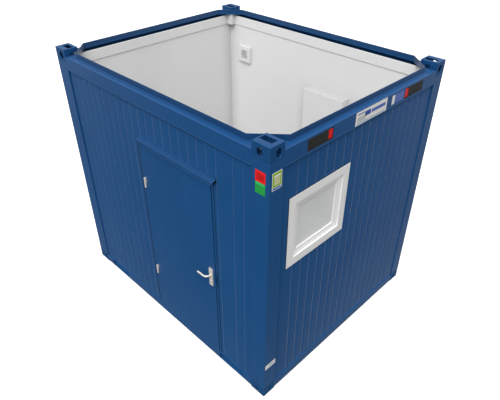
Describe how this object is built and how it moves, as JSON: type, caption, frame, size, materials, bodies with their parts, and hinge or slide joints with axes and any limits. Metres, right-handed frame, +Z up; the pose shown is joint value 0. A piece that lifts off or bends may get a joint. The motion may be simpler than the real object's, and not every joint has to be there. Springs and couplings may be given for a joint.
{
  "type": "sanitary container",
  "caption": "Blue steel site container fitted as a washroom, open at the roof, with corner castings, hinged door, tilting frosted window and sanitary fittings inside.",
  "frame": {"origin": "middle of the footprint, at the level of the four feet", "axes": "+Z up, X along the length with the window wall at +X, the door wall at -Y"},
  "size_m": [2.989, 2.5033, 2.8],
  "materials": {
    "blue_paint": "semi-gloss blue coil coating and paint",
    "galvanised_steel": "dull galvanised sheet",
    "white_board": "white melamine faced board",
    "white_pvc": "white window profile",
    "frosted_glass": "frosted",
    "mineral_wool": "mineral wool slab",
    "floor_panel": "cement bonded board",
    "grey_vinyl": "welded vinyl floor",
    "black_plastic": "black moulded",
    "red_plastic": "red moulded",
    "black_rubber": "profile seal",
    "stainless_steel": "satin stainless",
    "bright_steel": "bright zinc and satin aluminium",
    "chrome": "chrome plated",
    "white_ceramic": "white glaze",
    "white_acrylic": "white acrylic",
    "white_enamel": "white stoved enamel",
    "white_plastic": "white moulded",
    "copper": "copper tube",
    "grey_plastic": "grey drain pipe"
  },
  "bodies": {
    "container": {"base_corner_castings": "blue_paint", "base_rails": "blue_paint", "corner_posts": "blue_paint", "top_corner_castings": "blue_paint", "roof_beams": "blue_paint", "gutter_corner_plates": "blue_paint", "wall_outer_skins": "blue_paint", "door_frame": "blue_paint", "door_canopy": "blue_paint", "fork_pocket_sleeves": "blue_paint", "floor_cross_members": "galvanised_steel", "underfloor_sheet": "galvanised_steel", "post_downpipes": "grey_plastic", "insulation_slabs": "mineral_wool", "floor_board": "floor_panel", "floor_covering": "grey_vinyl", "wall_linings": "white_board", "interior_trims": "white_board", "door_threshold": "stainless_steel", "door_seal": "black_rubber", "door_keeper": "blue_paint", "door_hinge_frame_leaves": "bright_steel", "window_frame": "white_pvc", "power_boxes": "black_plastic", "power_connectors": "red_plastic", "fan_covers": "white_plastic", "fan_motor": "grey_plastic", "distribution_box": "white_plastic", "heater_body": "white_enamel", "water_heater": "white_enamel", "water_pipes": "copper", "waste_pipes": "grey_plastic", "wash_basin": "white_ceramic", "chrome_fittings": "chrome", "wall_cabinet": "white_board", "toilet": "white_ceramic", "shower_tray": "white_acrylic", "shower_screens": "white_acrylic"},
    "door": {"door_leaf": "blue_paint", "door_hinge_door_leaves": "bright_steel", "door_lock_case": "galvanised_steel", "door_handle_plates": "bright_steel"},
    "door_handle": {"door_levers": "bright_steel"},
    "latch": {"latch_bolt": "stainless_steel"},
    "thumbturn": {"lock_thumbturn": "bright_steel"},
    "lock_bolt": {"deadbolt": "stainless_steel"},
    "window": {"window_sash": "white_pvc", "window_panes": "frosted_glass"},
    "window_grip": {"window_handle": "white_plastic"},
    "fan": {"fan_impeller": "white_plastic"},
    "left_power_lid": {"power_lid_left": "black_plastic"},
    "right_power_lid": {"power_lid_right": "black_plastic"},
    "cabinet_leaf": {"cabinet_door": "white_board"},
    "seat": {"toilet_seat": "white_plastic"},
    "flush": {"flush_button": "chrome"},
    "tap": {"tap_lever": "chrome"},
    "shower_control": {"shower_knob": "chrome"},
    "shower_leaf": {"shower_door": "white_acrylic"},
    "heater_control": {"heater_knob": "white_plastic"},
    "distribution_cover": {"distribution_box_cover": "white_plastic"}
  },
  "joints": [
    {"name": "door_swing", "type": "hinge", "parent": "container", "child": "door", "pos_m": [-0.129, -1.2245, 1.2], "axis": [0, 0, -1], "range_deg": [0, 110]},
    {"name": "door_handle_turn", "type": "hinge", "parent": "door", "child": "door_handle", "pos_m": [0.787, -1.192, 1.176], "axis": [0, -1, 0], "range_deg": [0, 35], "stiffness_Nm_per_rad": 1.2},
    {"name": "latch_slide", "type": "slide", "parent": "door", "child": "latch", "axis": [-1, 0, 0], "range_m": [0, 0.012]},
    {"name": "thumbturn_turn", "type": "hinge", "parent": "door", "child": "thumbturn", "pos_m": [0.787, -1.192, 1.104], "axis": [0, 1, 0], "range_deg": [0, 90]},
    {"name": "deadbolt_slide", "type": "slide", "parent": "door", "child": "lock_bolt", "axis": [1, 0, 0], "range_m": [0, 0.014]},
    {"name": "window_tilt", "type": "hinge", "parent": "container", "child": "window", "pos_m": [1.4295, -0.5835, 1.627], "axis": [0, -1, 0], "range_deg": [0, 14]},
    {"name": "window_handle_turn", "type": "hinge", "parent": "window", "child": "window_grip", "pos_m": [1.4195, -0.5835, 2.155], "axis": [1, 0, 0], "range_deg": [0, 90]},
    {"name": "fan_spin", "type": "hinge", "parent": "container", "child": "fan", "pos_m": [-1.12, 1.15, 2.25], "axis": [0, 1, 0], "continuous": true},
    {"name": "left_power_lid_lift", "type": "hinge", "parent": "container", "child": "left_power_lid", "pos_m": [1.4895, -0.662, 2.702], "axis": [0, -1, 0], "range_deg": [0, 90]},
    {"name": "right_power_lid_lift", "type": "hinge", "parent": "container", "child": "right_power_lid", "pos_m": [1.4895, 0.678, 2.702], "axis": [0, -1, 0], "range_deg": [0, 90]},
    {"name": "cabinet_door_swing", "type": "hinge", "parent": "container", "child": "cabinet_leaf", "pos_m": [-0.012, 1.0035, 1.785], "axis": [0, 0, -1], "range_deg": [0, 110]},
    {"name": "toilet_seat_lift", "type": "hinge", "parent": "container", "child": "seat", "pos_m": [-1.1775, 0.45, 0.5443], "axis": [0, -1, 0], "range_deg": [0, 94]},
    {"name": "flush_press", "type": "slide", "parent": "container", "child": "flush", "axis": [0, 0, -1], "range_m": [0, 0.006], "stiffness_N_per_m": 400},
    {"name": "tap_lever_turn", "type": "hinge", "parent": "container", "child": "tap", "pos_m": [0.2575, 1.0675, 1.064], "axis": [0, 0, 1], "range_deg": [-45, 45]},
    {"name": "shower_knob_turn", "type": "hinge", "parent": "container", "child": "shower_control", "pos_m": [-1.3595, -0.6725, 1.23], "axis": [1, 0, 0], "range_deg": [0, 270]},
    {"name": "shower_door_swing", "type": "hinge", "parent": "container", "child": "shower_leaf", "pos_m": [-0.5045, -0.2675, 1.1], "axis": [0, 0, 1], "range_deg": [0, 100]},
    {"name": "heater_knob_turn", "type": "hinge", "parent": "container", "child": "heater_control", "pos_m": [1.3195, -0.3, 0.65], "axis": [1, 0, 0], "range_deg": [0, 270]},
    {"name": "distribution_cover_lift", "type": "hinge", "parent": "container", "child": "distribution_cover", "pos_m": [1.15, -1.0292, 2.244], "axis": [1, 0, 0], "range_deg": [0, 100]}
  ],
  "couplings": [
    {"joint": "latch_slide", "follows": "door_handle_turn", "m_per_rad": 0.01963},
    {"joint": "thumbturn_turn", "follows": "deadbolt_slide", "rad_per_m": 112.19}
  ]
}
